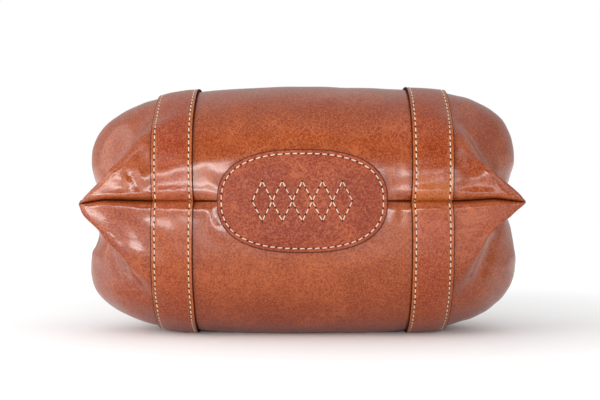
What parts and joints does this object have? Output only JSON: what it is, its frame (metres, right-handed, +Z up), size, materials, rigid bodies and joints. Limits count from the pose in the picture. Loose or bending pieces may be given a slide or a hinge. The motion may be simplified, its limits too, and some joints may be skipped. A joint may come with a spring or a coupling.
{
  "type": "toiletry bag",
  "caption": "Soft leather toiletry bag, zipped shut and lying on its back panel, with straps sewn round both ends and a rounded patch sewn on its long base.",
  "frame": {"origin": "middle of the flat stretch that the bag lies on: the bottom centre of its box", "axes": "+X along the bag, +Y from the base to the zip, +Z up, through the back panel and out of the front panel"},
  "size_m": [0.281, 0.1546, 0.1585],
  "materials": {
    "panel_leather": "waxed cognac leather with a fine grain, satin",
    "strap_leather": "the same leather, a little darker, satin",
    "patch_leather": "the same leather, redder and duller",
    "tape_cloth": "dark brown woven zip tape",
    "zip_metal": "antique brass, satin",
    "thread": "cream twisted thread"
  },
  "bodies": {
    "root": {"front_panel": "panel_leather", "back_panel": "panel_leather", "band_front_left": "strap_leather", "band_front_right": "strap_leather", "band_back_left": "strap_leather", "band_back_right": "strap_leather", "base_patch": "patch_leather", "zipper_tape": "tape_cloth", "zipper_teeth": "zip_metal", "zipper_slider": "zip_metal"}
  },
  "joints": []
}
